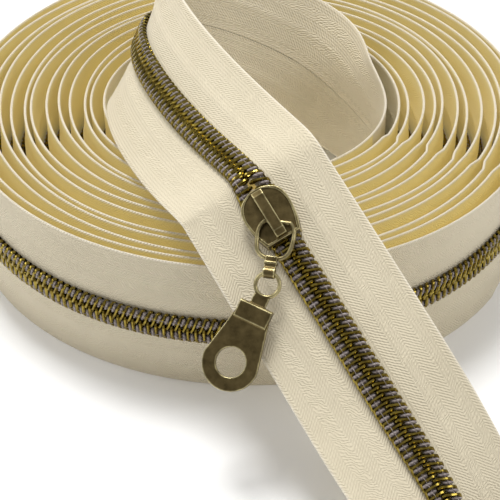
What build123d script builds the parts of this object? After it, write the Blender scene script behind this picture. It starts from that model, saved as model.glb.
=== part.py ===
"""A roll of coil zipper chain, one slider on its pulled-out end.

Millimetres, +Z up.  The origin is the middle of the roll's core, on the face that the roll
stands on.  The chain stands on edge in the roll: its width runs along Z and its coil faces
outwards.  The inner end climbs out of the core, curls over and runs down over the roll's
front to the floor.
"""
from build123d import *
import os
from math import cos, pi, radians, sin

os.makedirs("parts", exist_ok=True)

# ---- chain section: w across the chain, n out of the coil side, both from the middle line ----
chain_width = 32.0            # both tapes, edge to edge
tape_thickness = 0.5
tape_gap = 0.1                # between the two tapes, under the meshed coil
coil_width = 6.4              # both coils, meshed
coil_top = 2.0                # above the middle of the tape
coil_wall = 0.45              # nylon above the filler cord
coil_heads = 1.15             # nylon between the middle line and the filler cord
coil_bends = 0.6              # nylon between the filler cord and the coil's outer edge
cord_clearance = 0.05
sewn_clearance = 0.03         # between layers that are sewn together
thread_width = 1.1
thread_thickness = 0.15

# ---- roll ----
roll_inner_radius = 32.6      # middle of the tape at the inner end of the winding
turn_slack = 0.27             # air between one turn's stitching and the next turn's tape
half_turns = 25               # whole ones
last_arc = 50.0               # degrees of winding past the whole half-turns
inner_end_angle = -30.0       # degrees from +X, where the innermost turn leaves the winding

# ---- slider, in the chain's own frame: s along the chain, w across, n up from the tape ----
slider_length = 11.6
slider_bearing = -85.1        # degrees from +X, seen from the roll's middle
slider_inset = 5.53           # inside the roll's outer turn
run_clearance = 2.82          # lower edge of the run above the roll, at the slider
chain_direction = Vector(0.498, -0.730, -0.468).normalized()
chain_across = Vector(0.854, 0.319, 0.411).normalized()
parting = 1.0                 # how far the wedge moves each coil off the middle line
parting_start = -13.0         # s where the coils begin to part, ahead of the nose
parting_full = -4.6
parting_end = 3.0
coil_clearance = 0.25         # coils to the slider's side walls and roof
wedge_clearance = 0.2
tape_clearance = 0.2
roof_thickness = 0.9
sole_thickness = 1.0
flange_thickness = 0.6
rim_width = 0.5
rim_height = 0.25
nose_half_width = 1.2
shoulder_start = 1.6          # from the nose to where the shoulders are 0.8 of their full width
shoulder_share = 0.8
shoulder_full = 4.6           # from the nose to the widest place
waist_start = 2.4             # from the rear
rear_corner = 0.3             # how much narrower the flat rear is than the waist
wedge_inset = 0.3             # from the nose
wedge_reach = 2.7             # how far the wedge goes past the slider's middle
wedge_least = 0.1             # half width below which the wedge stops
bridge_width = 2.3
bridge_thickness = 0.8
bridge_front = 0.4            # from the nose to the bridge's foot
bridge_back = 0.5             # from the rear
bridge_front_rise = (0.5, 1.6)    # the foot's two bends, along the slider
bridge_back_fall = (1.2, 0.9)     # the rounded rear corner: along the slider, and down
bridge_back_leg = 1.0
bridge_front_leg = 1.7
bridge_corner = (0.6, 0.4)        # fillets inside the legs: along the slider, and down
weld = 0.01                       # how far joined pieces of one casting run into each other

# ---- pull link: u along it from its bar, v across ----
wire_radius = 0.45
wire_clearance = 0.15
link_bar = (2.6, 0.6)         # s and w of the bar's middle
link_yaw = 40.0               # off the chain's direction, degrees
link_bar_half = 2.5
link_half_width = 3.55
link_length = 7.5             # bar to the far wire, middle to middle
neck_width = 2.3
neck_thickness = 1.1
eyelet_at = 10.3              # bar to the eyelet that holds the tab's ring
eyelet_clearance = 0.35       # round the tab's ring
eyelet_wall = 0.4
shoulder_at = 0.5             # share of the link's length where it is widest
ridge_at = 0.9                # past the far wire
ridge_length = 0.5
ridge_raise = 0.3             # ridge wider than the neck
ridge_lift = 0.4              # and thicker

# ---- pull tab: p along it from the middle of its ring, q across ----
ring_radius = 2.4
ring_wire = 0.4
tab_yaw = 17.0                # further off the chain's direction than the link
tab_droop = 7.0               # degrees, down towards the tape
tab_web_width = 3.2
tab_web_overlap = 0.5         # into the collar
collar_start = 4.4
collar_length = 3.9
collar_width = 6.9
collar_thickness = 1.9
collar_chamfer = 0.35
tab_thickness = 1.2
tab_end_at = 16.6
tab_end_radius = 5.7
pull_hole_radius = 3.0

# ---- how the chain is laid ----
floor_clearance = 0.05        # tail above the floor
foot_height = 4.9             # where the run's straight line is given up, above the floor
roll_step = 30.0              # degrees between the guides on the innermost turn
run_settled = 14.0            # s behind the slider's middle where the lower run begins

half_chain = chain_width / 2
tape_face = tape_thickness / 2
coil_edge = coil_width / 2
coil_foot = tape_face + sewn_clearance
cord_inner = tape_gap / 2 + coil_heads + cord_clearance
cord_outer = coil_edge - coil_bends - cord_clearance
cord_width = cord_outer - cord_inner
cord_offset = (cord_inner + cord_outer) / 2
thread_top = coil_top + sewn_clearance + thread_thickness
turn_pitch = thread_top + tape_face + turn_slack
roll_outer_radius = roll_inner_radius + half_turns * turn_pitch / 2
roof_bottom = thread_top + coil_clearance
roof_top = roof_bottom + roof_thickness
rim_top = roof_top + rim_height
wire_height = rim_top + wire_clearance + wire_radius
bridge_bottom = wire_height + wire_radius + wire_clearance
bridge_top = bridge_bottom + bridge_thickness
eyelet_bore = ring_wire + eyelet_clearance
eyelet_radius = eyelet_bore + eyelet_wall

slider_out = roll_outer_radius - slider_inset
slider_centre = Vector(slider_out * cos(radians(slider_bearing)), slider_out * sin(radians(slider_bearing)),
                       chain_width + half_chain * chain_across.Z + run_clearance)
run_foot = (foot_height - slider_centre.Z) / chain_direction.Z
tail_height = tape_face + floor_clearance


# ---------------------------------------------------------------- the chain's own path
def on_roll(angle, scale):
    """A point on the innermost turn's circle, at half the chain's width above the floor."""
    radius = roll_inner_radius * scale
    turned = radians(inner_end_angle + angle)
    return Vector(radius * cos(turned), radius * sin(turned), half_chain)


def on_run(s):
    """A point on the straight run, s along it from the slider's middle."""
    return slider_centre + chain_direction * s


def on_lower_run(share):
    """A point between where the lower run begins and its foot."""
    return on_run(run_settled + (run_foot - run_settled) * share)


def on_floor(distance):
    """A point on the tail, which lies on the floor past the foot of the run."""
    foot = on_run(run_foot)
    ahead = Vector(chain_direction.X, chain_direction.Y, 0).normalized()
    return Vector(foot.X, foot.Y, tail_height) + ahead * distance


def in_curl(x, y, height):
    """A point of the curl: x and y in inner radii of the roll, height in widths of the chain."""
    return Vector(x * roll_inner_radius, y * roll_inner_radius, height * chain_width)


def beside_wall(x, y, height, width):
    """The same by the chain's lower edge, which keeps its place inside the core's wall."""
    width = width.normalized()
    return in_curl(x, y, height) + Vector(width.X, width.Y, 0) * half_chain, width


roll_scale = 3 / (2 + cos(radians(roll_step)))
upright = Vector(0, 0, 1)
floor_across = Vector(-chain_direction.Y, chain_direction.X, 0).normalized()

# Each guide is a point that pulls the chain's middle line, and the way its width points there.
# The line is the uniform cubic B-spline of the guides.
guides = [
    (on_roll(-roll_step, roll_scale), upright),
    (on_roll(0, roll_scale), upright),
    (on_roll(roll_step, roll_scale), upright),
    (in_curl(0.782, 0.506, 0.578), Vector(0.02, 0.06, 1.0)),
    (in_curl(0.429, 0.752, 0.797), Vector(0.20, 0.38, 0.90)),
    (in_curl(0.031, 0.721, 1.031), Vector(0.32, 0.57, 0.76)),
    (in_curl(-0.399, 0.690, 1.213), Vector(0.34, 0.58, 0.74)),
    beside_wall(-0.882, 0.186, 1.328, Vector(0.36, 0.56, 0.75)),
    beside_wall(-0.958, -0.241, 1.400, Vector(0.42, 0.52, 0.74)),
    beside_wall(-0.869, -0.701, 1.416, Vector(0.52, 0.46, 0.72)),
    (in_curl(-0.393, -0.936, 1.406), Vector(0.67, 0.39, 0.63)),
    (in_curl(-0.178, -1.304, 1.406), Vector(0.80, 0.34, 0.50)),
    (on_run(-10.5), chain_across),
    (on_run(-7), chain_across),
    (on_run(-3), chain_across),
    (on_run(4), chain_across),
    (on_run(run_settled), chain_across),
    (on_lower_run(0.19), chain_across),
    (on_lower_run(0.39), chain_across),
    (on_lower_run(0.61), Vector(0.86, 0.42, 0.25)),
    (on_lower_run(0.83), Vector(0.84, 0.53, 0.10)),
    (on_floor(0), floor_across),
    (on_floor(12), floor_across),
    (on_floor(24), floor_across),
]
run_starts = 9                # spans of the line: the loop, then the run, then the tail
tail_starts = 19
line_ends = len(guides) - 3


def chain_frame(u):
    """Middle, direction, across and outwards of the chain at u, counted in guides."""
    span = min(int(u), line_ends - 1)
    f = u - span
    weights = [(1 - f) ** 3, 3 * f ** 3 - 6 * f ** 2 + 4, 3 * f + 3 * f ** 2 - 3 * f ** 3 + 1, f ** 3]
    slopes = [-(1 - f) ** 2, 3 * f ** 2 - 4 * f, 1 + 2 * f - 3 * f ** 2, f ** 2]
    middle, along, across = Vector(), Vector(), Vector()
    for (point, width), weight, slope in zip(guides[span:span + 4], weights, slopes):
        middle += point * (weight / 6)
        along += point * slope
        across += width.normalized() * weight
    along = along.normalized()
    across = (across - along * across.dot(along)).normalized()
    return middle, along, across, along.cross(across)


def ease(t):
    """0 to 1 with level ends."""
    t = max(0.0, min(1.0, t))
    return t * t * (3 - 2 * t)


def parted(s):
    """How far each coil stands off the middle line at s from the slider's middle."""
    opening = ease((s - parting_start) / (parting_full - parting_start))
    closing = ease((s - parting_full) / (parting_end - parting_full))
    return parting * (opening - closing)


def stations(start, end, per_span):
    """Chain frames from start to end, with the parting at each."""
    count = round((end - start) * per_span)
    frames = []
    for k in range(count + 1):
        middle, along, across, out = chain_frame(start + (end - start) * k / count)
        s = (middle - slider_centre).dot(chain_direction)
        near = s > 2 * parting_start
        frames.append((middle, across, out, parted(s) if near else 0.0))
    return frames


# ---------------------------------------------------------------- sections of the running pieces
# Each section is a closed outline of (w, n, share), where share is how much of the coils'
# parting that corner follows: the tape's outer edge stays where it is.
def tape_section():
    return [(tape_gap / 2, -tape_face, 1), (half_chain, -tape_face, 0),
            (half_chain, tape_face, 0), (tape_gap / 2, tape_face, 1)]


def coil_section():
    inner = cord_inner - cord_clearance
    outer = cord_outer + cord_clearance
    ceiling = coil_top - coil_wall
    outline = [(tape_gap / 2, coil_foot), (inner, coil_foot), (inner, ceiling), (outer, ceiling),
               (outer, coil_foot), (coil_edge, coil_foot), (coil_edge, coil_top), (tape_gap / 2, coil_top)]
    return [(w, n, 1) for w, n in outline]


def cord_section():
    return box_section(cord_width, coil_foot, coil_top - coil_wall - cord_clearance)


def thread_section():
    return box_section(thread_width, coil_top + sewn_clearance, thread_top)


def box_section(width, bottom, top):
    near, far = cord_offset - width / 2, cord_offset + width / 2
    return [(near, bottom, 1), (far, bottom, 1), (far, top, 1), (near, top, 1)]


running_pieces = {"tape": tape_section, "coil": coil_section, "filler_cord": cord_section,
                  "stitching": thread_section}
sides = {"lower": -1, "upper": 1}


def ribbon(section, side, frames):
    """A running piece through the given frames, as flat-sided spans."""
    wires = []
    for middle, across, out, offset in frames:
        corners = [middle + across * (side * (w + offset * share)) + out * n for w, n, share in section]
        wires.append(Wire.make_polygon(corners, close=True))
    return Solid.make_loft(wires, ruled=True)


# ---------------------------------------------------------------- the winding
def winding(near, far, bottom, top):
    """The spiral band between two distances outside the middle of the tape."""
    inward = Vector(cos(radians(inner_end_angle)), sin(radians(inner_end_angle)), 0)
    centres = (Vector(0, 0, 0), inward * (turn_pitch / 2))
    edges = []
    for offset in (near, far):
        ends = []
        for k in range(half_turns + 1):
            centre = centres[k % 2]
            radius = roll_inner_radius + k * turn_pitch / 2 + offset
            arc = 180.0 if k < half_turns else last_arc
            starts_at = inner_end_angle - 180.0 * k
            turned = [radians(starts_at - arc * share) for share in (0, 0.5, 1)]
            points = [centre + Vector(cos(angle), sin(angle), 0) * radius for angle in turned]
            edges.append(Edge.make_three_point_arc(*points))
            ends.extend([points[0], points[2]])
        if offset == near:
            near_ends = (ends[0], ends[-1])
        else:
            edges.append(Edge.make_line(near_ends[0], ends[0]))
            edges.append(Edge.make_line(near_ends[1], ends[-1]))
    outline = Wire.combine(edges)[0]
    return extrude(Pos(0, 0, bottom) * Face(outline), top - bottom)


def wound_piece(section, side):
    """The same section as in the run, wound: w becomes height and n becomes radius."""
    heights = [half_chain + side * w for w, n, share in section]
    radii = [n for w, n, share in section]
    band = winding(min(radii), max(radii), min(heights), max(heights))
    if len(section) == 4:
        return band
    channel = [half_chain + side * section[k][0] for k in (1, 4)]
    return band - winding(min(radii) - tape_thickness, section[2][1], min(channel), max(channel))


# ---------------------------------------------------------------- the slider
slider_plane = Plane(slider_centre, x_dir=chain_direction,
                     z_dir=chain_direction.cross(chain_across))
nose = -slider_length / 2
rear = slider_length / 2


def channel_half(s):
    """Half the width of the coils' channel at s."""
    return parted(s) + coil_edge + coil_clearance


def slider_outline(inset=0.0):
    """The lobed plate: round shoulders at the nose, narrowing to a flat rear."""
    shoulder = channel_half(parting_full) + flange_thickness - inset
    waist = channel_half(rear) + flange_thickness - inset
    front, back = nose + inset, rear - inset
    side = [(front, nose_half_width), (front + shoulder_start, shoulder_share * shoulder),
            (front + shoulder_full, shoulder), (back - waist_start, (shoulder + waist) / 2),
            (back, waist - rear_corner)]
    right = Spline(*side, tangents=[(0.35, 1), (1, -0.35)])
    left = mirror(right, Plane.XZ)
    return make_face([right, left, Line(right @ 0, left @ 0), Line(right @ 1, left @ 1)])


def slider_body():
    outline = slider_outline()
    steps = 12
    along = [nose - 1 + (slider_length + 2) * k / steps for k in range(steps + 1)]
    channel_points = [(s, channel_half(s)) for s in along] + [(s, -channel_half(s)) for s in reversed(along)]
    channel = make_face(Polyline(*channel_points, close=True))
    roof = Pos(0, 0, roof_bottom) * extrude(outline, roof_thickness)
    walls_bottom = tape_face + tape_clearance
    walls = Pos(0, 0, walls_bottom) * extrude(outline - channel, roof_bottom - walls_bottom)
    sole = Pos(0, 0, -tape_face - tape_clearance - sole_thickness) * extrude(outline, sole_thickness)
    rim = Pos(0, 0, roof_top) * extrude(outline - slider_outline(rim_width), rim_height)
    wedge_front = nose + wedge_inset
    wedge_along = [wedge_front + (wedge_reach - wedge_front) * k / steps for k in range(steps + 1)]
    wedge_sides = [(s, parted(s) + tape_gap / 2 - wedge_clearance) for s in wedge_along]
    wedge_sides = [(s, half) for s, half in wedge_sides if half > wedge_least]
    wedge_points = wedge_sides + [(s, -half) for s, half in reversed(wedge_sides)]
    wedge_face = make_face(Polyline(*wedge_points, close=True))
    wedge = Pos(0, 0, -tape_face - tape_clearance) * extrude(wedge_face, roof_bottom + tape_face + tape_clearance)
    return roof + walls + sole + rim + wedge + bridge()


def bridge():
    """The strap over the roof that the link's bar turns under."""
    front, back = nose + bridge_front, rear - bridge_back
    first, second = bridge_front_rise
    fall_along, fall_down = bridge_back_fall
    corner_along, corner_down = bridge_corner
    outside = [(front, roof_top), (front + first, bridge_top - first), (front + second, bridge_top),
               (back - fall_along, bridge_top), (back, bridge_top - fall_down), (back, roof_top)]
    back_leg = back - bridge_back_leg
    front_leg = front + bridge_front_leg
    inside = [(back_leg, roof_top), (back_leg, bridge_bottom - corner_down),
              (back_leg - corner_along, bridge_bottom), (front_leg + fall_down, bridge_bottom),
              (front_leg, roof_top)]
    profile = make_face(Plane.XZ * Polyline(*outside, *inside, close=True))
    return Pos(0, 0, -weld) * extrude(profile, bridge_width / 2, both=True)


# ---------------------------------------------------------------- the pull
link_place = slider_plane.location * Pos(link_bar[0], link_bar[1], wire_height) * Rot(0, 0, -link_yaw)
hinge_place = link_place * Pos(eyelet_at, 0, 0) * Rot(0, tab_droop, 0)
tab_place = hinge_place * Pos(ring_radius, 0, 0) * Rot(0, 0, -tab_yaw)


def pull_link():
    """A D-shaped wire, its neck and the eyelet that the tab's ring hangs in."""
    bar = Line((0, -link_bar_half), (0, link_bar_half))
    right = Spline((0, link_bar_half), (link_length * shoulder_at, link_half_width), (link_length, 0),
                   tangents=[(0.75, 0.85), (0, -1)])
    left = mirror(right, Plane.XZ)
    wire = None
    for path in (bar, right, left):
        section = Plane(path @ 0, z_dir=path % 0) * Circle(wire_radius)
        piece = sweep(section, path)
        wire = piece if wire is None else wire + piece
    for corner in (-link_bar_half, link_bar_half):
        wire += Pos(0, corner, 0) * Sphere(wire_radius)
    neck_start = link_length - wire_radius
    neck_length = eyelet_at - neck_start
    neck = Pos(neck_start + neck_length / 2, 0, 0) * Box(neck_length, neck_width, neck_thickness)
    ridge_box = Box(ridge_length, neck_width + ridge_raise, neck_thickness + ridge_lift)
    ridge = Pos(link_length + ridge_at, 0, 0) * ridge_box
    eyelet = Pos(eyelet_at, 0, 0) * Rot(90, 0, 0) * Cylinder(eyelet_radius, neck_width)
    bore = Pos(eyelet_at, 0, 0) * Rot(90, 0, 0) * Cylinder(eyelet_bore, 2 * neck_width)
    return wire + neck + ridge + eyelet - bore


def pull_tab():
    """The ring, the raised collar and the flared plate with its round hole."""
    ring = Torus(ring_radius, ring_wire)
    web_length = collar_start - ring_radius + tab_web_overlap
    web = Pos(ring_radius + web_length / 2, 0, 0) * Box(web_length, tab_web_width, 2 * ring_wire)
    collar = Pos(collar_start + collar_length / 2, 0, 0) * Box(collar_length, collar_width, collar_thickness)
    collar = chamfer(collar.edges().filter_by(Axis.Y), collar_chamfer)
    shoulder = collar_start + collar_length / 2
    half = collar_width / 2
    edge = PolarLine((tab_end_at, 0), tab_end_radius, 90)
    side = Line((shoulder, half), edge @ 1)
    end = CenterArc((tab_end_at, 0), tab_end_radius, 90, -180)
    other = mirror(side, Plane.XZ)
    plate_face = make_face([side, end, other, Line(side @ 0, other @ 0)])
    plate = Pos(0, 0, -tab_thickness / 2) * extrude(plate_face, tab_thickness)
    plate -= Pos(tab_end_at, 0, 0) * Cylinder(pull_hole_radius, 2 * tab_thickness)
    tab = web + collar + plate
    tab -= Cylinder(ring_radius, 2 * collar_thickness)
    return tab + ring


# ---------------------------------------------------------------- all the nodes
def build_nodes():
    nodes = {}
    stretches = {"loop": (0, run_starts, 5), "run": (run_starts, tail_starts, 5),
                 "tail": (tail_starts, line_ends, 3)}
    for side_name, side in sides.items():
        for piece, section in running_pieces.items():
            nodes[f"{side_name}_{piece}_roll"] = wound_piece(section(), side)
            for stretch, (start, end, per_span) in stretches.items():
                frames = stations(start, end, per_span)
                nodes[f"{side_name}_{piece}_{stretch}"] = ribbon(section(), side, frames)
    nodes["slider_body"] = slider_plane.location * slider_body()
    nodes["pull_link"] = link_place * pull_link()
    nodes["pull_tab"] = tab_place * pull_tab()
    return nodes


for name, shape in build_nodes().items():
    shape.label = name
    export_step(shape, f"parts/{name}.step")
    print(name, round(shape.volume, 1), shape.is_valid)

hole = tab_place * Pos(tab_end_at, 0, 0)
print("slider centre", slider_centre, "turn pitch", turn_pitch, "outer radius", roll_outer_radius)
for label, place in (("link bar", link_place), ("eyelet", hinge_place), ("pull hole", hole)):
    frame = Plane(place)
    print(label, frame.origin, "x", frame.x_dir, "y", frame.y_dir, "z", frame.z_dir)
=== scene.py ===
"""A roll of coil zipper chain with one slider: cloth, coil elements, stitches and castings."""
import math

import bmesh
import bpy
from bpy.props import FloatProperty, FloatVectorProperty, PointerProperty
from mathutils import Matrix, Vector


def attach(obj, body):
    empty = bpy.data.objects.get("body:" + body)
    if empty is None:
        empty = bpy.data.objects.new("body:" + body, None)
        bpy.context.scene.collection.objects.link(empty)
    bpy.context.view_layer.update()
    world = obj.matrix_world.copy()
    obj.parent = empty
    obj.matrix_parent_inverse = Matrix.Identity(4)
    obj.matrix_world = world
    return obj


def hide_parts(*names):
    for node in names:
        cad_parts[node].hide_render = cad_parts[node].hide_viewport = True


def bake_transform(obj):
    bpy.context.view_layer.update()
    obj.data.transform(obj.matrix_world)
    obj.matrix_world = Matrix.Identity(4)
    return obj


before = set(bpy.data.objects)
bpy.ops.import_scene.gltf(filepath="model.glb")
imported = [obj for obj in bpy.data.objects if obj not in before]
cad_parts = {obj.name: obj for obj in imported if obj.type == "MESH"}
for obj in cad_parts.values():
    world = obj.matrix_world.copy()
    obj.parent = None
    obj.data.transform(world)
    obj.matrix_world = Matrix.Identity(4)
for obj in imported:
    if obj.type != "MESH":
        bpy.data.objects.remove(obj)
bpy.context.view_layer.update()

bl_info = {
    "name": "Zipper Chain Roll",
    "version": (1, 0, 0),
    "blender": (4, 5, 0),
    "location": "View3D > Sidebar > Zipper",
    "description": "Dresses a roll of coil zipper chain, its slider and its pull",
    "category": "Add Mesh",
}

MM = 0.001


def srgb(text):
    """A hex colour as linear red, green and blue."""
    parts = [int(text[k:k + 2], 16) / 255 for k in (0, 2, 4)]
    return tuple(c / 12.92 if c <= 0.04045 else ((c + 0.055) / 1.055) ** 2.4 for c in parts)


def length(name, millimetres, description):
    """A length that the user can change."""
    return FloatProperty(name=name, description=description, default=millimetres * MM,
                         min=0.0, unit="LENGTH", precision=5)


def colour(name, text, description):
    """A colour that the user can change."""
    return FloatVectorProperty(name=name, description=description, default=srgb(text),
                               size=3, min=0.0, max=1.0, subtype="COLOR")


class ChainSizes(bpy.types.PropertyGroup):
    chain_width: length("Chain Width", 32.0, "Both tapes together, edge to edge")
    tape_thickness: length("Tape Thickness", 0.5, "Thickness of the woven tape")
    tape_gap: length("Tape Gap", 0.1, "Gap between the two tapes under the coil")
    roll_radius: length("Roll Inner Radius", 32.6, "Middle of the tape where the winding ends inside")
    turn_pitch: length("Turn Pitch", 2.7, "Distance from one turn to the next")
    coil_pitch: length("Coil Pitch", 1.66, "Distance from one coil element to the next")
    wire: length("Coil Wire Radius", 0.36, "Half the thickness of the coil's monofilament")
    parting: length("Parting", 1.0, "How far the slider's wedge moves each coil off the middle")
    edge_lean: length("Edge Lean", 0.9, "How far the free edges of the wound tapes lean")


class ChainColours(bpy.types.PropertyGroup):
    cloth: colour("Tape Cloth", "E3D8BE", "Cream polyester tape")
    # Painted bounce light: a golden colour painted on the cloth between turns, standing in for light passed
    # through and between the wound turns.
    painted_bounce_light: colour("Painted Bounce Light", "E6D592", "The same cloth between turns, where light has crossed it twice")
    selvedge: colour("Selvedge", "F2E9D6", "Pale woven edge of the tape")
    coil: colour("Coil", "9C8A40", "Metallised nylon coil")
    thread: colour("Thread", "9C918D", "Grey sewing thread")
    cord: colour("Filler Cord", "6F6863", "Knitted cord inside the coil")
    brass: colour("Antique Brass", "62563A", "Dark plated casting")
    worn: colour("Worn Brass", "D3C796", "Bare metal on the rubbed edges")
    floor: colour("Floor", "FFFFFF", "Studio floor")


# ---------------------------------------------------------------- the chain's path
# The winding runs outwards from its cut end in half-turns, each a half-circle of one radius.
INNER_END = math.radians(-30)
HALF_TURNS = 25
LAST_ARC = 50 / 180
WINDING_ENDS = HALF_TURNS + LAST_ARC
OUTER_TURN = 22.4                             # the half-turn from which the winding is in full view

# The slider's middle and its own directions, and how far ahead of it the coils part and it ends.
SLIDER = Vector((5.195, -60.598, 41.396)) * MM
ALONG = Vector((0.498, -0.730, -0.468)).normalized()
ACROSS = Vector((0.854, 0.319, 0.411)).normalized()
PARTING_START, PARTING_FULL, PARTING_END = -13.0 * MM, -4.6 * MM, 3.0 * MM

# Where the straight run ends and where it would reach its foot, in millimetres ahead of the slider.
FOOT_HEIGHT = 4.9
STRAIGHT_ENDS = 14
RUN_FOOT = (FOOT_HEIGHT - SLIDER.z / MM) / ALONG.z
LIFT_OFF_FLOOR = 0.05 * MM

# Places on the laid-out line, counted in its guides.
RUN_STARTS, SLIDER_AT, TAIL_STARTS, TAIL_ENDS = 9, 13.36, 19, 21

# Each stretch of the chain, with the CAD stretch that it stands for.
WOUND = {"inner_turns": (OUTER_TURN, 0), "outer_turn": (WINDING_ENDS, OUTER_TURN)}
LAID = {"loop": (0, RUN_STARTS), "run_above": (RUN_STARTS, SLIDER_AT),
        "run_below": (SLIDER_AT, TAIL_STARTS), "tail": (TAIL_STARTS, TAIL_ENDS)}
CAD_STRETCH = {"inner_turns": "roll", "outer_turn": "roll", "loop": "loop",
               "run_above": "run", "run_below": "run", "tail": "tail"}
SIDES = {"lower": -1, "upper": 1}


def on_roll(degrees, scale, sizes):
    """A point inside the winding's cut end, degrees round from it and scaled off its radius."""
    angle = INNER_END + math.radians(degrees)
    radius = sizes.roll_radius * scale
    return Vector((radius * math.cos(angle), radius * math.sin(angle), sizes.chain_width / 2))


def on_run(distance):
    """A point on the slider's own line, in millimetres from its middle."""
    return SLIDER + ALONG * (distance * MM)


def on_lower_run(share):
    """A share of the way from the end of the straight run to its foot on the floor."""
    return on_run(STRAIGHT_ENDS + (RUN_FOOT - STRAIGHT_ENDS) * share)


def on_floor(distance, sizes):
    """A point on the floor, in millimetres ahead of the run's foot."""
    foot = on_run(RUN_FOOT)
    ahead = Vector((ALONG.x, ALONG.y, 0)).normalized()
    return Vector((foot.x, foot.y, sizes.tape_thickness / 2 + LIFT_OFF_FLOOR)) + ahead * (distance * MM)


def chain_guides(sizes):
    """The points that pull the chain's middle line, and the way its width points at each.

    The curl's points are shares of the core radius and, upwards, of the chain width."""
    upright = Vector((0, 0, 1))
    flat = Vector((-ALONG.y, ALONG.x, 0)).normalized()
    step = 30.0
    scale = 3 / (2 + math.cos(math.radians(step)))
    curl = [
        ((0.782, 0.506, 0.578), (0.02, 0.06, 1.0)),
        ((0.429, 0.752, 0.797), (0.20, 0.38, 0.90)),
        ((0.031, 0.721, 1.031), (0.32, 0.57, 0.76)),
        ((-0.399, 0.690, 1.213), (0.34, 0.58, 0.74)),
        ((-0.706, 0.460, 1.328), (0.36, 0.56, 0.75)),
        ((-0.752, 0.015, 1.400), (0.42, 0.52, 0.74)),
        ((-0.613, -0.475, 1.416), (0.52, 0.46, 0.72)),
        ((-0.393, -0.936, 1.406), (0.67, 0.39, 0.63)),
        ((-0.178, -1.304, 1.406), (0.80, 0.34, 0.50)),
    ]
    core, rise = sizes.roll_radius, sizes.chain_width
    guides = [(on_roll(turn * step, scale, sizes), upright) for turn in (-1, 0, 1)]
    guides += [(Vector((x * core, y * core, z * rise)), Vector(width)) for (x, y, z), width in curl]
    guides += [(on_run(distance), ACROSS) for distance in (-10.5, -7, -3, 4, STRAIGHT_ENDS)]
    guides += [(on_lower_run(share), ACROSS) for share in (0.19, 0.39)]
    guides += [(on_lower_run(0.61), Vector((0.86, 0.42, 0.25)))]
    guides += [(on_lower_run(0.83), Vector((0.84, 0.53, 0.10)))]
    guides += [(on_floor(distance, sizes), flat) for distance in (0, 12, 24)]
    return [(point, width.normalized()) for point, width in guides]


def line_frame(guides, u):
    """Middle, direction, across and outwards on the uniform cubic B-spline of the guides."""
    span = min(int(u), len(guides) - 4)
    f = u - span
    weights = ((1 - f) ** 3, 3 * f ** 3 - 6 * f ** 2 + 4, 3 * f + 3 * f ** 2 - 3 * f ** 3 + 1, f ** 3)
    slopes = (-(1 - f) ** 2, 3 * f ** 2 - 4 * f, 1 + 2 * f - 3 * f ** 2, f ** 2)
    middle, along, across = Vector(), Vector(), Vector()
    for (point, width), weight, slope in zip(guides[span:span + 4], weights, slopes):
        middle += point * (weight / 6)
        along += point * slope
        across += width * weight
    along.normalize()
    across -= along * across.dot(along)
    across.normalize()
    return middle, along, across, along.cross(across)


def roll_frame(half_turn, sizes):
    """The same on the winding, half_turn counted outwards from its inner end."""
    k = min(int(half_turn), HALF_TURNS)
    inward = Vector((math.cos(INNER_END), math.sin(INNER_END), 0))
    centre = inward * (sizes.turn_pitch / 2 * (k % 2))
    radius = sizes.roll_radius + k * sizes.turn_pitch / 2
    angle = INNER_END - math.pi * half_turn
    out = Vector((math.cos(angle), math.sin(angle), 0))
    middle = centre + out * radius + Vector((0, 0, sizes.chain_width / 2))
    return middle, Vector((-out.y, out.x, 0)), Vector((0, 0, 1)), out


def ease(t):
    """A smooth step from 0 to 1 as t goes from 0 to 1."""
    t = max(0.0, min(1.0, t))
    return t * t * (3 - 2 * t)


def parted(point, sizes):
    """How far each coil stands off the middle line at the slider's nose.

    It reads only how far ahead of the slider a point is, so some of the winding is parted too."""
    ahead = (point - SLIDER).dot(ALONG)
    opening = ease((ahead - PARTING_START) / (PARTING_FULL - PARTING_START))
    closing = ease((ahead - PARTING_FULL) / (PARTING_END - PARTING_FULL))
    return sizes.parting * (opening - closing)


def measured(frames):
    """The same frames, each with its distance along the chain from the first."""
    distance, last, result = 0.0, frames[0][0], []
    for item in frames:
        distance += (item[0] - last).length
        last = item[0]
        result.append((*item, distance))
    return result


def stretch(name, sizes, per_half_turn, per_guide):
    """Frames of one stretch of the chain, so many in each half-turn or from each guide to the next."""
    if name in WOUND:
        start, end = WOUND[name]
        count = round((start - end) * per_half_turn)
        return measured([roll_frame(start + (end - start) * k / count, sizes) for k in range(count + 1)])
    guides = chain_guides(sizes)
    start, end = LAID[name]
    count = round((end - start) * per_guide)
    return measured([line_frame(guides, start + (end - start) * k / count) for k in range(count + 1)])


def spaced(frames, pitch, first):
    """Frames every pitch along the chain, the first of them at its own distance."""
    result, wanted, k = [], first, 0
    while wanted < frames[-1][4] and k < len(frames) - 1:
        if frames[k + 1][4] < wanted:
            k += 1
            continue
        a, b = frames[k], frames[k + 1]
        t = (wanted - a[4]) / max(b[4] - a[4], 1e-12)
        result.append(tuple(a[n].lerp(b[n], t) for n in range(4)))
        wanted += pitch
    return result


def settle(obj, name, stretch_name, piece):
    """Names the piece, hands it to the chain's body and lets it stand for its CAD nodes; the run's two
    pieces are only baked in place and get no body.
    """
    obj.name = name
    side = name.split("_", 1)[0]
    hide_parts(f"{side}_{piece}_{CAD_STRETCH[stretch_name]}")
    guides = chain_guides(bpy.context.scene.chain_sizes)
    run_starts, run_ends = (line_frame(guides, place)[0] for place in (RUN_STARTS, TAIL_STARTS))
    if stretch_name == "run_above":
        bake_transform(obj)
    elif stretch_name == "run_below":
        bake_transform(obj)
    else:
        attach(obj, "chain")


# ---------------------------------------------------------------- mesh helpers
def mesh_object(name, mesh, material):
    """An object at the origin for a mesh, in one material."""
    mesh.materials.clear()
    mesh.materials.append(material)
    obj = bpy.data.objects.new(name, mesh)
    bpy.context.scene.collection.objects.link(obj)
    return obj


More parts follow.
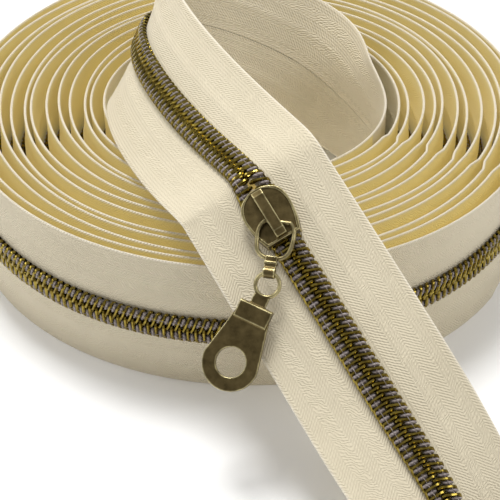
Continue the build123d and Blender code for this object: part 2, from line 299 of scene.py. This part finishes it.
def skin(name, rings, material, uvs=None, closed_ends=True):
    """A tube through rings of equal count; uvs is the same grid of (across, along)."""
    mesh = bpy.data.meshes.new(name)
    count = len(rings[0])
    verts = [point for ring in rings for point in ring]
    faces, corners = [], []
    for r in range(len(rings) - 1):
        for c in range(count):
            d = (c + 1) % count
            quad = [(r, c), (r, d), (r + 1, d), (r + 1, c)]
            faces.append([a * count + b for a, b in quad])
            if uvs:
                corners.extend(uvs[a][b] for a, b in quad)
    if closed_ends:
        faces.append(list(range(count))[::-1])
        faces.append([(len(rings) - 1) * count + c for c in range(count)])
        if uvs:
            corners.extend(uvs[0][::-1])
            corners.extend(uvs[-1])
    mesh.from_pydata(verts, [], faces)
    if uvs:
        layer = mesh.uv_layers.new(name="Cloth")
        layer.data.foreach_set("uv", [value for pair in corners for value in pair])
    bm = bmesh.new()
    bm.from_mesh(mesh)
    bmesh.ops.recalc_face_normals(bm, faces=bm.faces)
    bm.to_mesh(mesh)
    bm.free()
    mesh.shade_smooth()
    mesh.set_sharp_from_angle(angle=math.radians(50))
    return mesh_object(name, mesh, material)


def tube_rings(points, radii, sides):
    """Rings round a path of points that lies near the XZ plane, radii at each point."""
    rings = []
    for k, point in enumerate(points):
        ahead = points[min(k + 1, len(points) - 1)]
        behind = points[max(k - 1, 0)]
        tangent = (ahead - behind).normalized()
        side = Vector((0, 1, 0))
        side = (side - tangent * side.dot(tangent)).normalized()
        normal = tangent.cross(side)
        turns = [2 * math.pi * c / sides for c in range(sides)]
        rings.append([point + (side * math.cos(t) + normal * math.sin(t)) * radii[k] for t in turns])
    return rings


# ---------------------------------------------------------------- node helpers
def add(tree, kind, settings=None, links=None):
    """Adds a node with its settings and inputs: each a number, a socket, or a node for its live output."""
    node = tree.nodes.new(kind)
    for key, value in (settings or {}).items():
        setattr(node, key, value)
    for key, value in (links or {}).items():
        if isinstance(value, bpy.types.Node):
            value = next(output for output in value.outputs if output.enabled)
        if isinstance(value, bpy.types.NodeSocket):
            tree.links.new(value, node.inputs[key])
        else:
            node.inputs[key].default_value = value
    return node


def repeat_tree():
    """Geometry nodes: sets a copy of one element on every point, turned to the chain there."""
    tree = bpy.data.node_groups.get("repeat_along_chain")
    if tree:
        return tree
    tree = bpy.data.node_groups.new("repeat_along_chain", "GeometryNodeTree")
    inputs = {"Stations": "Geometry", "Element": "Object", "Element Size": "Float", "Uneven": "Float",
              "Finish": "Material"}
    for name, kind in inputs.items():
        tree.interface.new_socket(name=name, in_out="INPUT", socket_type="NodeSocket" + kind)
    tree.interface.new_socket(name="Chain", in_out="OUTPUT", socket_type="NodeSocketGeometry")
    entry = add(tree, "NodeGroupInput").outputs
    out = add(tree, "GeometryNodeInputNamedAttribute", {"data_type": "FLOAT_VECTOR"}, {"Name": "out"})
    across = add(tree, "GeometryNodeInputNamedAttribute", {"data_type": "FLOAT_VECTOR"}, {"Name": "across"})
    turn = add(tree, "FunctionNodeAxesToRotation", {"primary_axis": "Z", "secondary_axis": "X"},
               {"Primary Axis": out.outputs["Attribute"], "Secondary Axis": across.outputs["Attribute"]})
    element = add(tree, "GeometryNodeObjectInfo", None, {"Object": entry["Element"]})
    smallest = add(tree, "ShaderNodeMath", {"operation": "SUBTRACT"}, {0: 1.0, 1: entry["Uneven"]})
    chance = add(tree, "FunctionNodeRandomValue", {"data_type": "FLOAT"}, {"Seed": 7, 2: smallest, 3: 1.0})
    size = add(tree, "ShaderNodeMath", {"operation": "MULTIPLY"},
               {0: entry["Element Size"], 1: chance.outputs[1]})
    copies = add(tree, "GeometryNodeInstanceOnPoints", None,
                 {"Points": entry["Stations"], "Instance": element.outputs["Geometry"],
                  "Rotation": turn, "Scale": size})
    real = add(tree, "GeometryNodeRealizeInstances", None, {"Geometry": copies})
    finish = add(tree, "GeometryNodeSetMaterial", None, {"Geometry": real, "Material": entry["Finish"]})
    add(tree, "NodeGroupOutput", None, {"Chain": finish})
    return tree


def repeated(name, places, element, material, uneven=0.0):
    """One plain mesh of element at every place, each place a middle, across and out."""
    mesh = bpy.data.meshes.new(name)
    mesh.from_pydata([place[0] for place in places], [], [])
    for key, column in (("across", 1), ("out", 2)):
        layer = mesh.attributes.new(key, "FLOAT_VECTOR", "POINT")
        layer.data.foreach_set("vector", [value for place in places for value in place[column]])
    stations = bpy.data.objects.new(name + "_stations", mesh)
    bpy.context.scene.collection.objects.link(stations)
    tree = repeat_tree()
    modifier = stations.modifiers.new("Repeat", "NODES")
    modifier.node_group = tree
    values = {"Element": element, "Element Size": 1.0, "Uneven": uneven, "Finish": material}
    for item in tree.interface.items_tree:
        if item.in_out == "INPUT" and item.name in values:
            modifier[item.identifier] = values[item.name]
    depsgraph = bpy.context.evaluated_depsgraph_get()
    result = bpy.data.meshes.new_from_object(stations.evaluated_get(depsgraph), depsgraph=depsgraph)
    result.name = name
    bpy.data.objects.remove(stations)
    return mesh_object(name, result, material)


# ---------------------------------------------------------------- materials
MATH = "ShaderNodeMath"
MIX_FIRST, MIX_SECOND = 6, 7          # a colour mix's two colours among its inputs
UPPER_TAPE, BACK_FACE = 50.0, 100.0   # added to the cloth's millimetres from the middle, to tell them apart


def new_material(name):
    """An empty node material and its tree."""
    material = bpy.data.materials.new(name)
    material.use_nodes = True
    material.node_tree.nodes.clear()
    return material, material.node_tree


def finish_surface(tree, settings):
    """The shader and the output, with plain numbers set on the shader's own sockets."""
    shader = add(tree, "ShaderNodeBsdfPrincipled", None, settings)
    add(tree, "ShaderNodeOutputMaterial", None, {"Surface": shader})


def set_stops(tone, *stops):
    """Places the two stops of a colour ramp, each a position and a linear colour."""
    for element, (position, base) in zip(tone.color_ramp.elements, stops):
        element.position = position
        element.color = (*base, 1)


def tinted(base, red, green, blue):
    """The base colour with each of its parts scaled."""
    return base[0] * red, base[1] * green, base[2] * blue


def herringbone(tree, uv, across, along):
    """The cloth's slanting ribs, turning at each band, and the yarns along them, as one height."""
    band, rib, yarn = 2.6, 0.72, 0.65     # millimetres; the real ones are finer, drawn coarser to show
    drift = add(tree, "ShaderNodeTexNoise", None, {"Vector": uv, "Scale": 0.5, "Detail": 2.0})
    shifted = add(tree, MATH, {"operation": "ADD"}, {0: across, 1: drift})
    zigzag = add(tree, MATH, {"operation": "PINGPONG"}, {0: shifted, 1: band})
    wavering = add(tree, MATH, {"operation": "MULTIPLY_ADD"}, {0: drift, 1: 1.5, 2: along})
    slanted = add(tree, MATH, {"operation": "ADD"}, {0: wavering, 1: zigzag})
    rib_turn = add(tree, MATH, {"operation": "MULTIPLY"}, {0: slanted, 1: 2 * math.pi / rib})
    ribs = add(tree, MATH, {"operation": "SINE"}, {0: rib_turn})
    yarn_turn = add(tree, MATH, {"operation": "MULTIPLY"}, {0: across, 1: 2 * math.pi / yarn})
    yarns = add(tree, MATH, {"operation": "SINE"}, {0: yarn_turn})
    return add(tree, MATH, {"operation": "MULTIPLY_ADD"}, {0: yarns, 1: 0.5, 2: ribs})


def back_stitches(tree, across, place, along):
    """1 on the dashed row of stitches that the coil's seam leaves on the cloth's back."""
    seam, half_width, pitch, dash = 2.0, 0.38, 1.66, 0.55
    back = add(tree, MATH, {"operation": "GREATER_THAN"}, {0: across, 1: BACK_FACE})
    row = add(tree, MATH, {"operation": "COMPARE"}, {0: place, 1: seam, 2: half_width})
    steps = add(tree, MATH, {"operation": "DIVIDE"}, {0: along, 1: pitch})
    phase = add(tree, MATH, {"operation": "FRACT"}, {0: steps})
    dashes = add(tree, MATH, {"operation": "LESS_THAN"}, {0: phase, 1: dash})
    dashed_row = add(tree, MATH, {"operation": "MULTIPLY"}, {0: row, 1: dashes})
    return add(tree, MATH, {"operation": "MULTIPLY"}, {0: dashed_row, 1: back})


def woven_polyester(colours):
    """Woven polyester tape: matt cream cloth whose herringbone shows as fine slanting ribs, with painted
    bounce light, a golden tint and a faint painted glow, between turns.
    """
    material, tree = new_material("woven_polyester_tape")
    uv = add(tree, "ShaderNodeUVMap", {"uv_map": "Cloth"})
    split = add(tree, "ShaderNodeSeparateXYZ", None, {"Vector": uv})
    across, along = split.outputs["X"], split.outputs["Y"]
    place = add(tree, MATH, {"operation": "MODULO"}, {0: across, 1: UPPER_TAPE})
    weave = herringbone(tree, uv, across, along)
    stitches = back_stitches(tree, across, place, along)
    fuzz = add(tree, "ShaderNodeTexNoise", None,
               {"Vector": uv, "Scale": 1.3, "Detail": 3.0, "Roughness": 0.65})
    blotch = add(tree, "ShaderNodeTexNoise", None, {"Vector": uv, "Scale": 0.12, "Detail": 2.0})

    relief = add(tree, MATH, {"operation": "MULTIPLY_ADD"}, {0: fuzz, 1: 3.0, 2: weave})
    relief = add(tree, MATH, {"operation": "MULTIPLY_ADD"}, {0: stitches, 1: -3.0, 2: relief})
    bump = add(tree, "ShaderNodeBump", None, {"Strength": 0.5, "Distance": 0.10 * MM, "Height": relief})

    shade = add(tree, MATH, {"operation": "MULTIPLY_ADD"}, {0: weave, 1: 0.035, 2: 0.5})
    shade = add(tree, MATH, {"operation": "MULTIPLY_ADD"}, {0: blotch, 1: 0.25, 2: shade})
    shade = add(tree, MATH, {"operation": "MULTIPLY_ADD"}, {0: stitches, 1: -0.25, 2: shade})
    tone = add(tree, "ShaderNodeValToRGB", None, {"Fac": shade})
    set_stops(tone, (0.45, (0.87, 0.86, 0.83)), (0.8, (1, 1, 1)))

    # Painted bounce light: the cloth is tinted golden between turns, where light would have crossed it
    # twice.
    painted_bounce_light = add(tree, "ShaderNodeAttribute", {"attribute_name": "painted_bounce_light"}).outputs["Fac"]
    painted_bounce_tint = add(tree, "ShaderNodeMix", {"data_type": "RGBA"},
               {0: painted_bounce_light, MIX_FIRST: (*colours.cloth, 1), MIX_SECOND: (*colours.painted_bounce_light, 1)})
    edge = add(tree, "ShaderNodeMapRange", None, {"Value": place, "From Min": 15.5, "From Max": 15.9})
    edged = add(tree, "ShaderNodeMix", {"data_type": "RGBA"},
                {0: edge, MIX_FIRST: painted_bounce_tint, MIX_SECOND: (*colours.selvedge, 1)})
    cloth = add(tree, "ShaderNodeMix", {"data_type": "RGBA", "blend_type": "MULTIPLY"},
                {0: 1.0, MIX_FIRST: edged, MIX_SECOND: tone})
    # Painted glow: a faint golden emission between turns, though the cloth is no lamp.
    painted_glow_strength = add(tree, MATH, {"operation": "MULTIPLY"}, {0: painted_bounce_light, 1: 0.13})
    finish_surface(tree, {"Base Color": cloth, "Roughness": 0.88, "Normal": bump,
                          "Emission Color": (*colours.painted_bounce_light, 1), "Emission Strength": painted_glow_strength,
                          "Sheen Weight": 0.15, "Sheen Roughness": 0.5})
    return material


def metallised_nylon(colours):
    """Nylon monofilament under a brass coat: dark, with sharp gold lights along each limb."""
    material, tree = new_material("metallised_nylon_coil")
    place = add(tree, "ShaderNodeTexCoord").outputs["Object"]
    grime = add(tree, "ShaderNodeTexNoise", None, {"Vector": place, "Scale": 900.0, "Detail": 2.0})
    tone = add(tree, "ShaderNodeValToRGB", None, {"Fac": grime})
    set_stops(tone, (0.35, tinted(colours.coil, 0.5, 0.47, 0.45)), (0.65, colours.coil))
    finish_surface(tree, {"Base Color": tone, "Metallic": 1.0, "Roughness": 0.16})
    return material


def spun_thread(name, base, roughness):
    """Twisted polyester thread: soft, with a fine slanting twist."""
    material, tree = new_material(name)
    place = add(tree, "ShaderNodeTexCoord").outputs["Object"]
    twist = add(tree, "ShaderNodeTexWave", {"bands_direction": "DIAGONAL"},
                {"Vector": place, "Scale": 600.0, "Distortion": 3.0}).outputs["Fac"]
    bump = add(tree, "ShaderNodeBump", None, {"Strength": 0.4, "Distance": 0.05 * MM, "Height": twist})
    tone = add(tree, "ShaderNodeValToRGB", None, {"Fac": twist})
    set_stops(tone, (0.0, tinted(base, 0.55, 0.52, 0.55)), (1.0, base))
    finish_surface(tree, {"Base Color": tone, "Roughness": roughness, "Sheen Weight": 0.3, "Normal": bump})
    return material


def sewing_thread(colours):
    """Glossier grey thread of the stitches: pale lights on each fat bight."""
    return spun_thread("twisted_sewing_thread", colours.thread, 0.4)


def filler_cord(colours):
    """Dull dark cord, seen only as a shade between the coil's limbs."""
    return spun_thread("knitted_filler_cord", colours.cord, 0.9)


def antique_brass(colours):
    """Die casting plated in antique brass: brown-black and mottled, rubbed pale on its edges."""
    material, tree = new_material("antique_brass_plate")
    place = add(tree, "ShaderNodeTexCoord").outputs["Object"]
    mottle = add(tree, "ShaderNodeTexNoise", None,
                 {"Vector": place, "Scale": 420.0, "Detail": 5.0, "Roughness": 0.6})
    tone = add(tree, "ShaderNodeValToRGB", None, {"Fac": mottle})
    dark, light = tinted(colours.brass, 0.7, 0.68, 0.62), tinted(colours.brass, 1.7, 1.68, 1.6)
    set_stops(tone, (0.3, dark), (0.75, light))
    worn = add(tree, "ShaderNodeAttribute", {"attribute_name": "worn"}).outputs["Fac"]
    patchy = add(tree, MATH, {"operation": "MULTIPLY_ADD"}, {0: mottle, 1: 2.4, 2: -0.45})
    bare = add(tree, MATH, {"operation": "MULTIPLY", "use_clamp": True}, {0: worn, 1: patchy})
    plated = add(tree, "ShaderNodeMix", {"data_type": "RGBA"},
                 {0: bare, MIX_FIRST: tone, MIX_SECOND: (*colours.worn, 1)})
    rough = add(tree, "ShaderNodeMapRange", None, {"Value": mottle, "To Min": 0.28, "To Max": 0.42})
    bump = add(tree, "ShaderNodeBump", None, {"Strength": 0.08, "Distance": 0.05 * MM, "Height": mottle})
    finish_surface(tree, {"Base Color": plated, "Metallic": 1.0, "Roughness": rough, "Normal": bump})
    return material


def matt_board(colours):
    """Matt white board under the object, with the faintest grain."""
    material, tree = new_material("matt_board")
    place = add(tree, "ShaderNodeTexCoord").outputs["Object"]
    grain = add(tree, "ShaderNodeTexNoise", None, {"Vector": place, "Scale": 300.0})
    bump = add(tree, "ShaderNodeBump", None, {"Strength": 0.02, "Height": grain})
    finish_surface(tree, {"Base Color": (*colours.floor, 1), "Roughness": 0.9, "Normal": bump})
    return material


MAKERS = {"tape": woven_polyester, "coil": metallised_nylon, "thread": sewing_thread,
          "cord": filler_cord, "brass": antique_brass, "board": matt_board}
made_materials = {}


def material_for(finish):
    """The material of a finish, made when it is first asked for."""
    if finish not in made_materials:
        made_materials[finish] = MAKERS[finish](bpy.context.scene.chain_colours)
    return made_materials[finish]


# ---------------------------------------------------------------- pieces
def tape_outline(sizes):
    """Half a tape's section, inner edge to selvedge, as (w, n) on its coil side."""
    face = sizes.tape_thickness / 2
    half = sizes.chain_width / 2
    inner = sizes.tape_gap / 2
    widths = [0.0, 0.06, 0.2, 0.30, 0.42, 0.455, 0.49, 0.6, 0.72, 0.84, 0.92, 0.95, 0.975, 0.99, 1.0]
    raised = {0.455: 0.1 * MM, 0.95: 0.05 * MM, 0.975: 0.06 * MM, 1.0: -0.6 * face, 0.99: -0.1 * face}
    return [(inner + (half - inner) * share, face + raised.get(share, 0.0)) for share in widths]


def lean(share, half_turn, sizes):
    """How far a wound tape's free edge leans in or out: a slow wave that differs by turn."""
    free = ease((share - 0.25) / 0.75)
    fade = ease(half_turn / 0.6)
    turn = math.floor(half_turn / 2)
    angle = math.pi * half_turn
    wave = 0.6 * math.sin(1.31 * angle + 1.9 * turn) + 0.4 * math.sin(3.07 * angle + 0.7 * turn)
    return sizes.edge_lean * free * fade * wave


def painted_bounce_share(half_turn, front, share):
    """How much painted bounce light, a golden tint, a spot of wound cloth gets.

    It is painted most between turns, none on the outside and little on the core wall."""
    if front:
        covered = ease((WINDING_ENDS - 2.0 - half_turn) / 0.2)
    else:
        covered = 0.35 + 0.65 * ease((half_turn - 1.8) / 0.4)
    return covered * ease((1.0 - share) / 0.04)


def make_tape(side_name, stretch_name, sizes):
    """One tape over one stretch: its section carried along the chain, with its cloth map and its painted
    bounce light between turns.
    """
    side = SIDES[side_name]
    wound = stretch_name in WOUND
    frames = stretch(stretch_name, sizes, per_half_turn=60, per_guide=14)
    outline = tape_outline(sizes)
    section = [(w, n, 0.0) for w, n in outline] + [(w, -n, BACK_FACE) for w, n in reversed(outline)]
    half = sizes.chain_width / 2
    half_turn = 0.0
    rings, uvs, painted_bounce_values = [], [], []
    for k, (middle, along, across, out, distance) in enumerate(frames):
        opened = parted(middle, sizes) if stretch_name.startswith("run") else 0.0
        if wound:
            start, end = WOUND[stretch_name]
            half_turn = start + (end - start) * k / (len(frames) - 1)
        ring, uv = [], []
        for w, n, face in section:
            share = w / half
            shift = lean(share, half_turn, sizes) if wound else 0.0
            place = w + opened * (1 - share)
            ring.append(middle + across * (side * place) + out * (n + shift))
            uv.append((w / MM + (UPPER_TAPE if side > 0 else 0.0) + face, distance / MM))
            # Painted bounce light: how golden each spot is painted, none on the laid-out stretches.
            painted_bounce_values.append(painted_bounce_share(half_turn, face == 0.0, share) if wound else 0.0)
        rings.append(ring)
        uvs.append(uv)
    name = f"{side_name}_tape_{stretch_name}"
    obj = skin(name, rings, material_for("tape"), uvs)
    layer = obj.data.attributes.new("painted_bounce_light", "FLOAT", "POINT")
    layer.data.foreach_set("value", painted_bounce_values)
    settle(obj, name, stretch_name, "tape")


class ZIPPER_OT_tapes(bpy.types.Operator):
    """Weaves both tapes, wound and laid out"""
    bl_idname = "zipper.tapes"
    bl_label = "Tapes"

    def execute(self, context):
        sizes = context.scene.chain_sizes
        for side_name in SIDES:
            for stretch_name in (*WOUND, *LAID):
                make_tape(side_name, stretch_name, sizes)
        return {"FINISHED"}


RIB_SLANT = {+1: 0.36, -1: 0.02}   # how far a rib moves along the chain for each millimetre outwards
SEAM = 1.95                        # millimetres from the middle line to the row of stitches


def coil_element(sizes, side, fine):
    """One turn of a coil: lower limb, head over the middle line, slanting upper limb, outer bend.

    Each place is millimetres outwards, along the chain and up, and the wire's thickness there."""
    slant = RIB_SLANT[side]
    pitch = sizes.coil_pitch / MM
    lower_limb = [(2.80, 0.0, 0.63, 1.0), (1.60, 0.0, 0.60, 1.0), (0.20, 0.0, 0.62, 1.0)]
    head = [(-0.20, 0.02, 0.78, 1.0), (-0.42, 0.04, 1.15, 1.15), (-0.24, 0.06, 1.52, 1.1),
            (0.20, 0.08, 1.70, 1.05)]
    upper_limb = [(1.00, 0.1 + slant, 1.70, 1.0), (1.90, 0.1 + 1.9 * slant, 1.66, 1.0)]
    bend = [(2.50, 0.15 + 2.4 * slant, 1.46, 1.0), (2.82, 0.3 + 2.4 * slant, 1.14, 1.0),
            (2.86, 1.3, 0.82, 1.0), (2.80, pitch, 0.63, 1.0)]
    route = (lower_limb + head + upper_limb + bend)[::1 if fine else 2]
    points = [Vector((w, -side * y, n)) * MM for w, y, n, swell in route]
    radii = [sizes.wire * swell for w, y, n, swell in route]
    rings = tube_rings(points, radii, 6 if fine else 4)
    return skin("coil_element", rings, material_for("coil"), closed_ends=False)


def bight_rings(side, forward):
    """The fat part of a stitch, lying between two limbs: thick in its middle, none at its ends."""
    half_length, thickest, height, count = 1.05, 0.40, 1.40, 8
    rings = []
    turns = [2 * math.pi * c / count for c in range(count)]
    for k in range(count):
        t = math.pi * (k + 0.5) / count
        w = SEAM - half_length * math.cos(t)
        y = -side * (forward + RIB_SLANT[side] * (w - SEAM))
        radius = thickest * math.sin(t) ** 0.5
        rings.append([Vector((w, y + radius * math.cos(a), height + radius * math.sin(a))) * MM
                      for a in turns])
    return rings


def strand_rings(side, forward):
    """The thin strand that goes over one limb, from one bight to the next."""
    radius, count = 0.07, 5
    turns = [2 * math.pi * c / count for c in range(count)]
    rings = []
    for y, n in ((-0.9, 1.5), (-0.4, 1.88), (0.0, 2.01), (0.4, 1.88), (0.9, 1.5)):
        y -= side * forward
        rings.append([Vector((SEAM + radius * math.cos(a), y, n + radius * math.sin(a))) * MM
                      for a in turns])
    return rings


def stitch_element(sizes, side):
    """One stitch as one mesh: the bight and the strand, square to where the limb passes the seam."""
    limb = 0.1 + 1.9 * RIB_SLANT[side]
    bight = skin("bight", bight_rings(side, sizes.coil_pitch / MM / 2 + limb), material_for("thread"))
    strand = skin("strand", strand_rings(side, limb), material_for("thread"))
    bm = bmesh.new()
    for part in (bight, strand):
        bm.from_mesh(part.data)
        bpy.data.objects.remove(part)
    mesh = bpy.data.meshes.new("stitch_element")
    bm.to_mesh(mesh)
    bm.free()
    mesh.shade_smooth()
    return mesh_object("stitch_element", mesh, material_for("thread"))


def places_along(stretch_name, side, sizes):
    """A place for each element of one side: the other side stands half a pitch on."""
    frames = stretch(stretch_name, sizes, per_half_turn=60, per_guide=60)
    total = frames[-1][4]
    pitch = total / round(total / sizes.coil_pitch)
    first = pitch * (0.25 if side > 0 else 0.75)
    places = []
    for middle, along, across, out in spaced(frames, pitch, first):
        opened = 0.0 if stretch_name in WOUND else parted(middle, sizes)
        places.append((middle + across * (side * opened), across * side, out))
    return places


class ZIPPER_OT_coils(bpy.types.Operator):
    """Sets the coil elements of both sides along the chain"""
    bl_idname = "zipper.coils"
    bl_label = "Coils"

    def execute(self, context):
        sizes = context.scene.chain_sizes
        for side_name, side in SIDES.items():
            fine = coil_element(sizes, side, True)
            plain = coil_element(sizes, side, False)
            for stretch_name in (*WOUND, *LAID):
                element = plain if stretch_name == "inner_turns" else fine
                name = f"{side_name}_coil_{stretch_name}"
                obj = repeated(name, places_along(stretch_name, side, sizes), element, material_for("coil"))
                settle(obj, name, stretch_name, "coil")
            bpy.data.objects.remove(fine)
            bpy.data.objects.remove(plain)
        return {"FINISHED"}


class ZIPPER_OT_stitching(bpy.types.Operator):
    """Sews each coil to its tape with a row of stitches"""
    bl_idname = "zipper.stitching"
    bl_label = "Stitching"

    def execute(self, context):
        sizes = context.scene.chain_sizes
        for side_name, side in SIDES.items():
            stitch = stitch_element(sizes, side)
            for stretch_name in (*WOUND, *LAID):
                name = f"{side_name}_stitching_{stretch_name}"
                if stretch_name == "inner_turns":
                    obj = running_tube(name, stretch_name, side, sizes, (1.9, 1.95), (0.18, 0.14), "thread")
                else:
                    places = places_along(stretch_name, side, sizes)
                    obj = repeated(name, places, stitch, material_for("thread"), uneven=0.08)
                settle(obj, name, stretch_name, "stitching")
            bpy.data.objects.remove(stitch)
        return {"FINISHED"}


def running_tube(name, stretch_name, side, sizes, centre, half_size, finish):
    """A plain oval tube that runs with the chain, its (outwards, up) and half sizes in millimetres."""
    (w, n), (wide, high) = centre, half_size
    turns = [2 * math.pi * c / 6 for c in range(6)]
    frames = stretch(stretch_name, sizes, per_half_turn=24, per_guide=8)
    rings = []
    for middle, along, across, out, distance in frames:
        core = middle + across * (side * (w * MM + parted(middle, sizes))) + out * (n * MM)
        rings.append([core + across * (wide * MM * math.cos(a)) + out * (high * MM * math.sin(a))
                      for a in turns])
    return skin(name, rings, material_for(finish))


class ZIPPER_OT_cords(bpy.types.Operator):
    """Runs the filler cord inside each coil"""
    bl_idname = "zipper.cords"
    bl_label = "Filler Cords"

    def execute(self, context):
        sizes = context.scene.chain_sizes
        for side_name, side in SIDES.items():
            for stretch_name in (*WOUND, *LAID):
                name = f"{side_name}_filler_cord_{stretch_name}"
                obj = running_tube(name, stretch_name, side, sizes, (1.8, 1.14), (0.62, 0.27), "cord")
                settle(obj, name, stretch_name, "filler_cord")
        return {"FINISHED"}


def rubbed(mesh, grain):
    """Marks convex edges, where plating wears: 1 on an edge, 0 on flats and in corners."""
    flat, sharp, passes = 0.005, 0.06, 4
    bm = bmesh.new()
    bm.from_mesh(mesh)
    around = [[edge.other_vert(vertex) for edge in vertex.link_edges] for vertex in bm.verts]
    values = []
    for vertex, others in zip(bm.verts, around):
        mean = sum((other.co for other in others), Vector()) / len(others)
        values.append((vertex.co - mean).dot(vertex.normal) / grain)
    for _ in range(passes):
        values = [(value + sum(values[other.index] for other in others)) / (1 + len(others))
                  for value, others in zip(values, around)]
    bm.free()
    layer = mesh.attributes.new("worn", "FLOAT", "POINT")
    layer.data.foreach_set("value", [ease((value - flat) / (sharp - flat)) for value in values])


def casting(node, name, body, grain):
    """The CAD casting with its edges rounded as cast, and marked where they are rubbed."""
    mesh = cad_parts[node].data.copy()
    bm = bmesh.new()
    bm.from_mesh(mesh)
    bmesh.ops.remove_doubles(bm, verts=bm.verts, dist=0.002 * MM)
    bm.to_mesh(mesh)
    bm.free()
    obj = mesh_object(name, mesh, material_for("brass"))
    fine = obj.modifiers.new("Fine", "REMESH")
    fine.mode = "VOXEL"
    fine.voxel_size = grain
    rounding = obj.modifiers.new("Rounding", "SMOOTH")
    rounding.factor = 0.5
    rounding.iterations = 4
    depsgraph = bpy.context.evaluated_depsgraph_get()
    final = bpy.data.meshes.new_from_object(obj.evaluated_get(depsgraph), depsgraph=depsgraph)
    obj.modifiers.clear()
    obj.data = final
    final.materials.clear()
    final.materials.append(material_for("brass"))
    rubbed(final, grain)
    final.shade_smooth()
    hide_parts(node)
    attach(obj, body)


class ZIPPER_OT_slider(bpy.types.Operator):
    """Finishes the slider body, the pull link and the pull tab"""
    bl_idname = "zipper.slider"
    bl_label = "Slider and Pull"

    def execute(self, context):
        casting("slider_body", "slider_casting", "slider", grain=0.1 * MM)
        casting("pull_link", "link_casting", "link", grain=0.08 * MM)
        casting("pull_tab", "tab_casting", "tab", grain=0.1 * MM)
        return {"FINISHED"}


# Each soft lamp: its place and size in metres, and its power in watts.
LAMPS = {"key": ((-0.1, 0.25, 0.8), 0.3, 5.6), "right_fill": ((0.5, -0.2, 0.5), 0.25, 0.8),
         "left_fill": ((-0.6, 0.1, 0.45), 0.3, 1.0)}
LAMPS_AIM = Vector((0, -20, 0)) * MM
CAMERA_AIM = Vector((0.9, -17.8, 0)) * MM
CAMERA_HEIGHT, CAMERA_DISTANCE = math.radians(38), 380 * MM


def light_studio(scene):
    """A dim even sky and the soft lamps, all turned to the roll."""
    world = bpy.data.worlds.new("studio")
    scene.world = world
    world.use_nodes = True
    sky = world.node_tree.nodes["Background"].inputs
    sky["Color"].default_value = (1.0, 0.99, 0.97, 1)
    sky["Strength"].default_value = 0.42
    for name, (place, size, power) in LAMPS.items():
        light = bpy.data.lights.new(name, "AREA")
        light.size = size
        light.energy = power
        lamp = bpy.data.objects.new(name, light)
        lamp.location = place
        lamp.rotation_euler = (LAMPS_AIM - Vector(place)).to_track_quat("-Z", "Y").to_euler()
        scene.collection.objects.link(lamp)


def place_camera(scene):
    """A long lens, looking down on the roll from in front."""
    camera = bpy.data.cameras.new("camera")
    camera.lens = 116.2
    camera.sensor_width = 36.0
    eye = bpy.data.objects.new("camera", camera)
    towards = Vector((0, -math.cos(CAMERA_HEIGHT), math.sin(CAMERA_HEIGHT)))
    eye.location = CAMERA_AIM + towards * CAMERA_DISTANCE
    eye.rotation_euler = (CAMERA_AIM - eye.location).to_track_quat("-Z", "Y").to_euler()
    scene.collection.objects.link(eye)
    scene.camera = eye


class ZIPPER_OT_stage(bpy.types.Operator):
    """Sets the floor, the soft lights and the camera"""
    bl_idname = "zipper.stage"
    bl_label = "Stage"

    def execute(self, context):
        bpy.ops.mesh.primitive_plane_add(size=6.0, location=(0, 0, 0))
        floor = context.object
        floor.name = "floor"
        floor.data.materials.append(material_for("board"))
        light_studio(context.scene)
        place_camera(context.scene)
        context.scene.view_settings.view_transform = "Standard"
        return {"FINISHED"}


class ZIPPER_PT_panel(bpy.types.Panel):
    """Lists the pieces in the 3D view's sidebar"""
    bl_label = "Zipper Chain"
    bl_idname = "ZIPPER_PT_panel"
    bl_space_type = "VIEW_3D"
    bl_region_type = "UI"
    bl_category = "Zipper"

    def draw(self, context):
        for group in (context.scene.chain_sizes, context.scene.chain_colours):
            column = self.layout.column()
            for key in group.__annotations__:
                column.prop(group, key)
        for operator in OPERATORS:
            self.layout.operator(operator.bl_idname)


OPERATORS = (ZIPPER_OT_stage, ZIPPER_OT_tapes, ZIPPER_OT_coils, ZIPPER_OT_stitching, ZIPPER_OT_cords,
             ZIPPER_OT_slider)
CLASSES = (ChainSizes, ChainColours, *OPERATORS, ZIPPER_PT_panel)


def register():
    """Makes the classes known to Blender and gives each scene its sizes and colours."""
    for item in CLASSES:
        bpy.utils.register_class(item)
    bpy.types.Scene.chain_sizes = PointerProperty(type=ChainSizes)
    bpy.types.Scene.chain_colours = PointerProperty(type=ChainColours)


def unregister():
    """Takes back what register did."""
    del bpy.types.Scene.chain_colours
    del bpy.types.Scene.chain_sizes
    for item in reversed(CLASSES):
        bpy.utils.unregister_class(item)


def main():
    """Registers the add-on and makes every piece in turn."""
    register()
    for operator in OPERATORS:
        group, action = operator.bl_idname.split(".")
        getattr(getattr(bpy.ops, group), action)()


if __name__ == "__main__":
    main()
